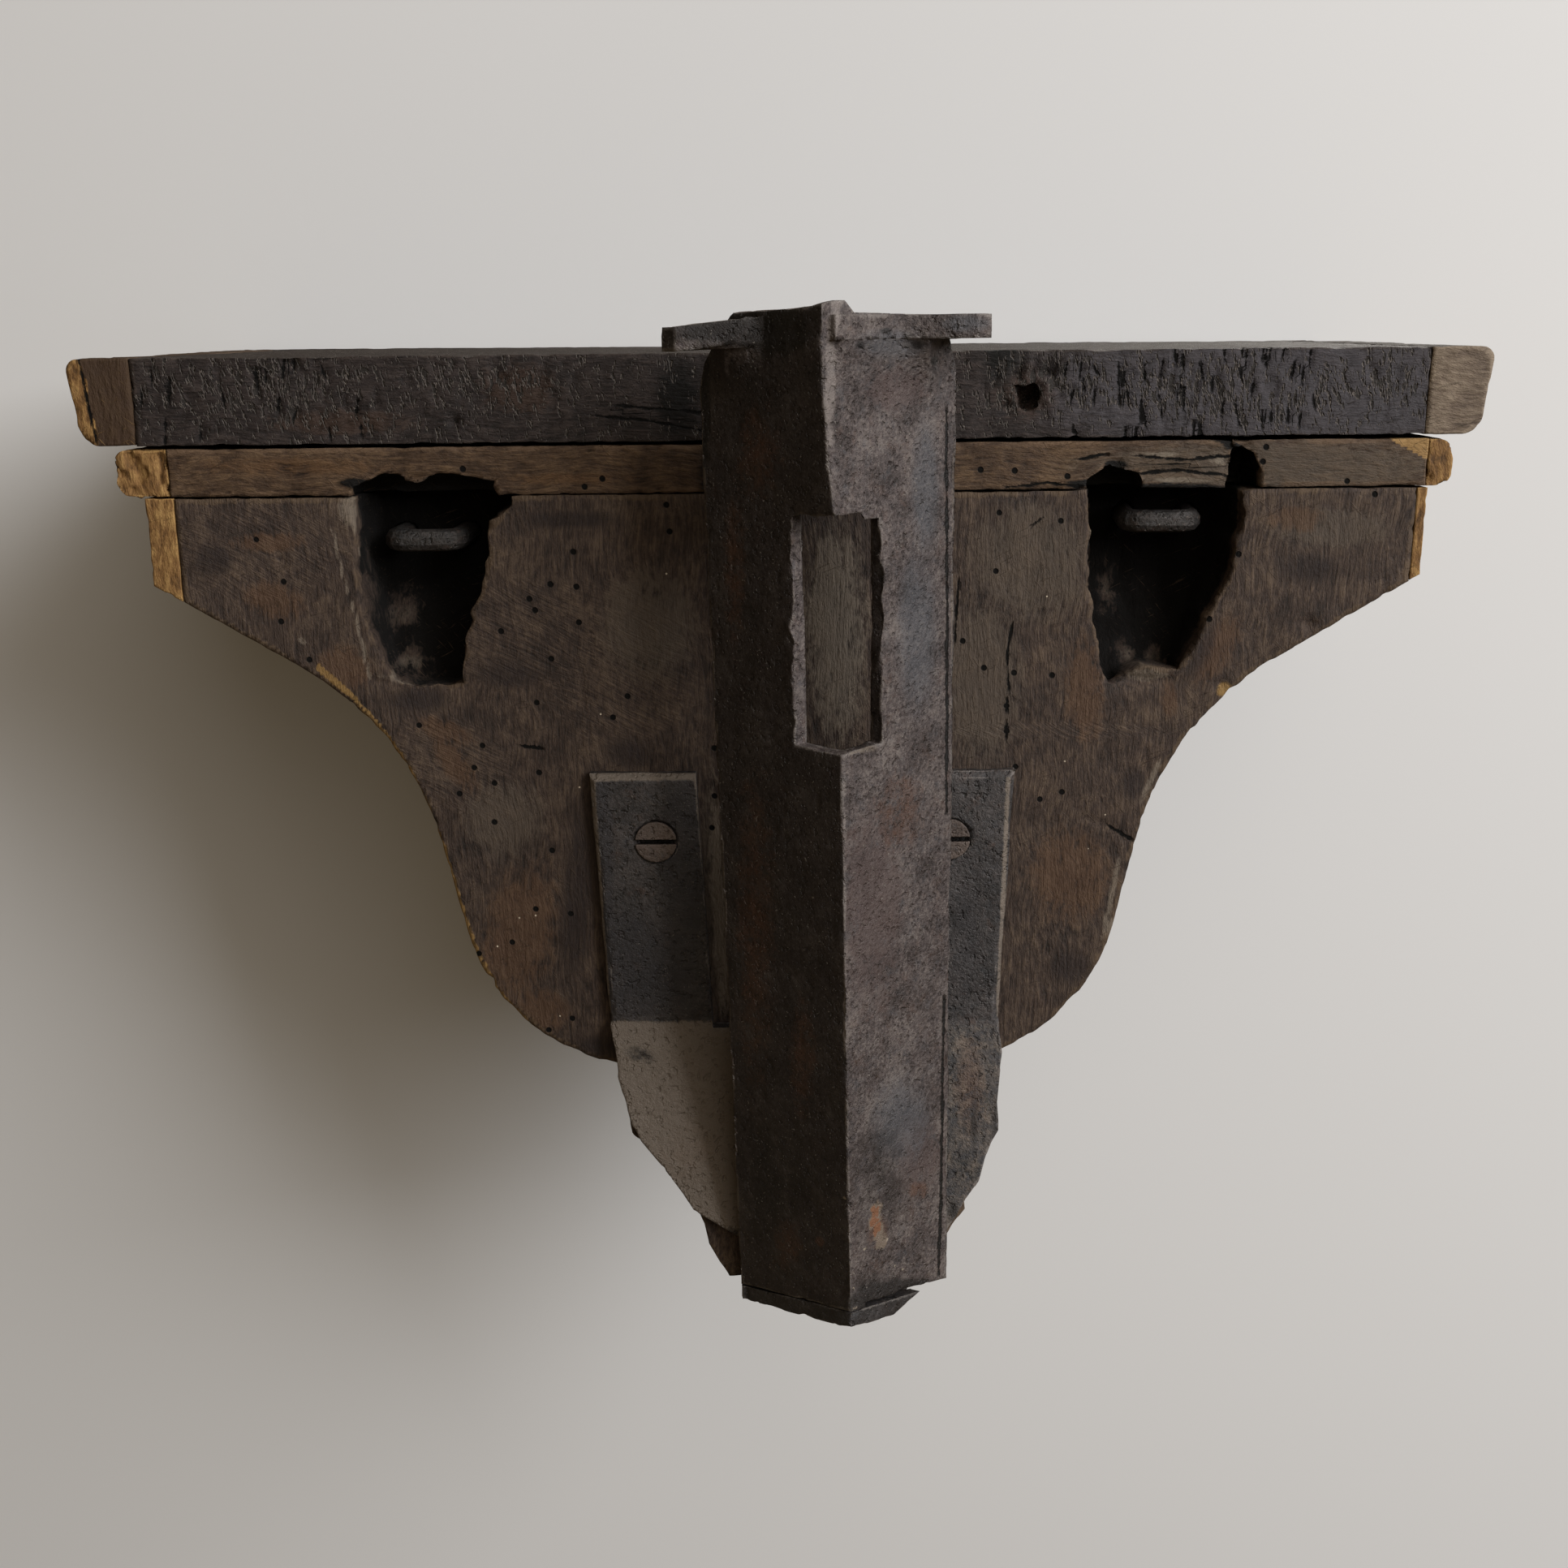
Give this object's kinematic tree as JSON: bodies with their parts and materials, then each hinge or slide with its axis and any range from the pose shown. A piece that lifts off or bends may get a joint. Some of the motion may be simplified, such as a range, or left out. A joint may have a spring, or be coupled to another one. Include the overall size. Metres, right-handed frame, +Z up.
{
  "type": "console bracket",
  "caption": "Moulded wooden wall bracket with a shelf over a tapering cyma body, hung on iron staples and backed by an iron corner channel on a screwed yoke.",
  "frame": {"origin": "in the plane of the wooden back, midway between the two hanging staples and at their height", "axes": "+Z up, +Y towards the wall, the shelf stands out towards -Y, +X to the right as seen from the front"},
  "size_m": [0.327, 0.1805, 0.2414],
  "materials": {
    "shelf_wood": "old dark stain, worn and bruised",
    "strip_wood": "worn brown, wormholes",
    "body_wood": "old walnut brown, scratched, wormholes",
    "bare_wood": "bare ochre wood",
    "channel_iron": "dark pitted wrought iron, rusty",
    "yoke_iron": "dark dusty wrought iron",
    "staple_iron": "dull grey wrought iron",
    "screw_iron": "dull brown iron"
  },
  "bodies": {
    "root": {"shelf_board": "shelf_wood", "shelf_moulding_right": "shelf_wood", "shelf_moulding_left": "shelf_wood", "shelf_moulding_front": "shelf_wood", "strip_board": "strip_wood", "strip_bead_right": "bare_wood", "strip_bead_left": "bare_wood", "strip_bead_front": "strip_wood", "bracket_body": "body_wood", "side_band_right": "bare_wood", "side_band_left": "bare_wood", "side_band_front": "body_wood", "hanging_staple_right": "staple_iron", "hanging_staple_left": "staple_iron", "iron_yoke": "yoke_iron", "yoke_screw_right": "screw_iron", "yoke_screw_left": "screw_iron", "corner_channel": "channel_iron", "tail_block": "body_wood"}
  },
  "joints": []
}
